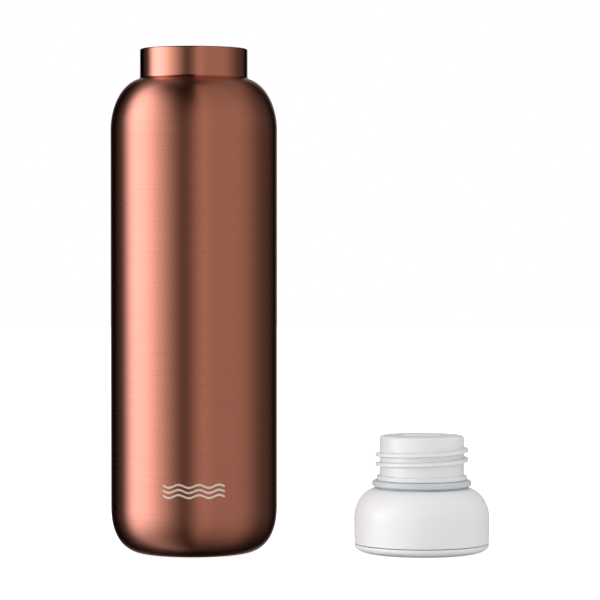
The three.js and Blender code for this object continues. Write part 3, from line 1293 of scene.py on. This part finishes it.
@dataclass(frozen=True)
class Panel:
    """A soft upright light, placed by compass angles in degrees from the camera, positive towards +X.

    Attributes:
        edges: Where it starts, is full, stops being full and ends.
        strength: Its brightness.
        tint: Its colour.
        top: Elevations between which it fades out upwards.
        bottom: Elevations between which it fades in upwards, and what is left below them.
        lean: Degrees that it leans towards +X in each degree upwards from level.
    """

    edges: tuple[float, float, float, float]
    strength: float
    tint: Colour = (1.0, 1.0, 1.0)
    top: tuple[float, float] = (66.0, 96.0)
    bottom: tuple[float, float, float] = (-42.0, 6.0, 0.2)
    lean: float = 0.0

    def glow(self, board: Board, compass: Socket, tilt: Socket) -> Socket:
        """The colour of the panel in a direction.

        Args:
            board: The world's board.
            compass: The direction's compass angle.
            tilt: Its elevation.

        Returns:
            The colour.
        """
        start, full, stop, end = self.edges
        low, high, left = self.bottom
        compass = board.less(compass, board.times(board.maths("MAXIMUM", tilt, 0.0), self.lean))
        across = board.times(board.step(compass, start, full), board.step(compass, stop, end, 1.0, 0.0))
        lit = board.times(across, board.step(tilt, *self.top, self.strength, 0.0))
        return board.scaled(self.tint, board.times(lit, board.step(tilt, low, high, left, 1.0)))


def stand(thing: Piece, spot: Vector, target: Vector) -> None:
    """Links a lamp or a camera to the scene and aims it.

    Args:
        thing: The lamp or camera.
        spot: Where it stands.
        target: Where it aims.
    """
    bpy.context.scene.collection.objects.link(thing)
    thing.location = spot
    thing.rotation_euler = (target - spot).to_track_quat("-Z", "Y").to_euler()


@dataclass(frozen=True)
class Studio:
    """A pale floor, soft upright lights to left and right, and the camera. Lengths are in metres.

    Attributes:
        panels: What shiny surfaces reflect.
        above: How bright it is above and behind the object.
        back: How bright it is straight behind the object.
        ambient: The even light on the plastic and the floor.
        deep: Elevations between which it darkens close under the object, and what is left there.
        floor: The floor's brightness.
        floor_lift: How far the floor is lifted to white.
        overhead: Power, height and width of the lamp overhead.
        side: Power and width of the lamp that lights the cap.
        side_spot: Where that lamp stands.
        aim: Where the camera aims, along X and up.
        distance: How far in front the camera stands.
        eye: How high the camera stands.
        view_width: Width of the view at the object.
    """

    panels: tuple[Panel, ...] = (
        Panel((-117.0, -84.0, -84.0, -6.5), 1.84, (1.0, 1.10, 1.18), (30.0, 68.0), lean=-0.25),
        Panel((-114.0, -86.0, -72.0, -46.0), 0.52, (0.3, 0.55, 1.2), (30.0, 68.0), lean=-0.25),
        Panel((-16.0, 14.0, 60.0, 118.0), 0.325, top=(70.0, 110.0), bottom=(-70.0, -15.0, 0.2), lean=0.2),
        Panel((0.0, 13.0, 17.0, 32.0), 0.09),
        Panel((-140.0, -112.0, 116.0, 152.0), 0.10, top=(20.0, 60.0)),
    )
    above: float = 0.22
    back: float = 0.3
    ambient: float = 0.90
    deep: tuple[float, float, float] = (-100.0, -42.0, 0.5)
    floor: float = 0.9
    floor_lift: float = 0.85
    overhead: tuple[float, float, float] = (0.4, 1.2, 0.7)
    side: tuple[float, float] = (1.42, 0.3)
    side_spot: Spot = (-0.47, -0.09, 0.12)
    aim: tuple[float, float] = (0.0447, 0.1064)
    distance: float = 1.2
    eye: float = 0.133
    view_width: float = 0.253

    def build(self) -> None:
        """Sets up the world, the floor, the overhead light and the camera."""
        bpy.context.scene.view_settings.view_transform = "Standard"
        self._world()
        self._floor()
        power, height, width = self.overhead
        self._lamp("overhead", (self.aim[0], 0.0, height), width, power).visible_glossy = False
        self._camera()

    def _world(self) -> None:
        """White to the camera, upright panels to shiny surfaces and even light to the rest."""
        behind, high_up, off_centre = (-0.1, 0.3), (28.0, 55.0), (0.02, 0.28)
        near_level, near_back = (18.0, 42.0), (156.0, 174.0)
        world = bpy.data.worlds.new("studio")
        bpy.context.scene.world = world
        world.use_nodes = True
        board = Board(world.node_tree)
        way = board.split(board.add("ShaderNodeTexCoord").outputs["Generated"])
        turned = board.maths("ARCTAN2", way["X"], board.times(way["Y"], -1.0))
        compass = board.times(turned, 180 / math.pi)
        tilt = board.times(board.maths("ARCSINE", way["Z"]), 180 / math.pi)
        shine = (0.0, 0.0, 0.0)
        for panel in self.panels:
            shine = board.joined(shine, panel.glow(board, compass, tilt))
        low, high, left = self.deep
        shine = board.scaled(shine, board.step(tilt, low, high, left, 1.0))
        above = board.times(board.step(way["Y"], *behind), board.step(tilt, *high_up))
        above = board.times(above, board.step(board.unsigned(way["X"]), *off_centre))
        level = board.step(board.unsigned(tilt), *near_level, 1.0, 0.0)
        back = board.times(board.step(board.unsigned(compass), *near_back), level)
        for place, strength in ((above, self.above), (back, self.back)):
            shine = board.joined(shine, board.scaled((strength,) * 3, place))
        path = board.add("ShaderNodeLightPath").outputs
        colour = board.blend(path["Is Glossy Ray"], rgba((self.ambient,) * 3), shine)
        colour = board.blend(path["Is Camera Ray"], colour, rgba((1.0, 1.0, 1.0)))
        light = board.add("ShaderNodeBackground", {"Color": colour})
        board.add("ShaderNodeOutputWorld", {"Surface": light.outputs[0]})

    def _floor(self) -> None:
        """A wide pale floor, lifted to white for the camera and left out of reflections."""
        size, sunk = 3.0, 0.00005
        corners = [(-size, -size, 0), (size, -size, 0), (size, size, 0), (-size, size, 0)]
        floor = new_piece("floor", corners, [(0, 1, 2, 3)])
        floor.location.z = -sunk
        floor.visible_glossy = False
        material, board = new_material("pale_floor")
        pale = board.add("ShaderNodeBsdfDiffuse", {"Color": rgba((self.floor,) * 3)})
        seen = board.add("ShaderNodeLightPath").outputs["Is Camera Ray"]
        lift = board.add("ShaderNodeEmission", {"Strength": board.times(seen, self.floor_lift)})
        board.surface(board.add("ShaderNodeAddShader", {0: pale.outputs[0], 1: lift.outputs[0]}))
        dress(floor, material)

    def _lamp(self, name: str, spot: Spot, width: float, power: float) -> Piece:
        """Hangs a round area light that faces the middle of the object.

        Args:
            name: Its name.
            spot: Where it hangs.
            width: Its diameter.
            power: Its power.

        Returns:
            The lamp.
        """
        data = bpy.data.lights.new(name, "AREA")
        data.shape = "DISK"
        data.size = width
        data.energy = power
        lamp = bpy.data.objects.new(name, data)
        stand(lamp, Vector(spot), Vector((self.aim[0], 0.0, 0.03)))
        return lamp

    def light_cap(self, pieces: list[Piece]) -> None:
        """Lights the cap from the bottle's side, past the bottle, and keeps it out of the copper.

        Args:
            pieces: Every piece of the cap.
        """
        lit = bpy.data.collections.new("lit_by_side_light")
        for piece in pieces:
            lit.objects.link(piece)
            piece.visible_glossy = False
        power, width = self.side
        lamp = self._lamp("side", self.side_spot, width, power)
        lamp.light_linking.receiver_collection = lit
        lamp.light_linking.blocker_collection = lit

    def _camera(self) -> None:
        """A long lens, a little above the object's middle."""
        data = bpy.data.cameras.new("camera")
        camera = bpy.data.objects.new("camera", data)
        spot = Vector((self.aim[0], -self.distance, self.eye))
        target = Vector((self.aim[0], 0.0, self.aim[1]))
        stand(camera, spot, target)
        data.sensor_width = 36.0
        data.lens = data.sensor_width * (target - spot).length / self.view_width
        data.clip_start = 0.05
        bpy.context.scene.camera = camera


def main() -> None:
    """Builds the studio, the bottle and the cap round the frame."""
    logging.basicConfig(level=logging.INFO, format="%(name)s: %(message)s")
    studio = Studio()
    studio.build()
    finishes = Finishes()
    screw = Screw()
    Bottle.from_frame(finishes, screw.liner_ridge()).build()
    studio.light_cap(Cap.from_frame(finishes, screw.stopper_ridge()).build())


if __name__ == "__main__":
    main()
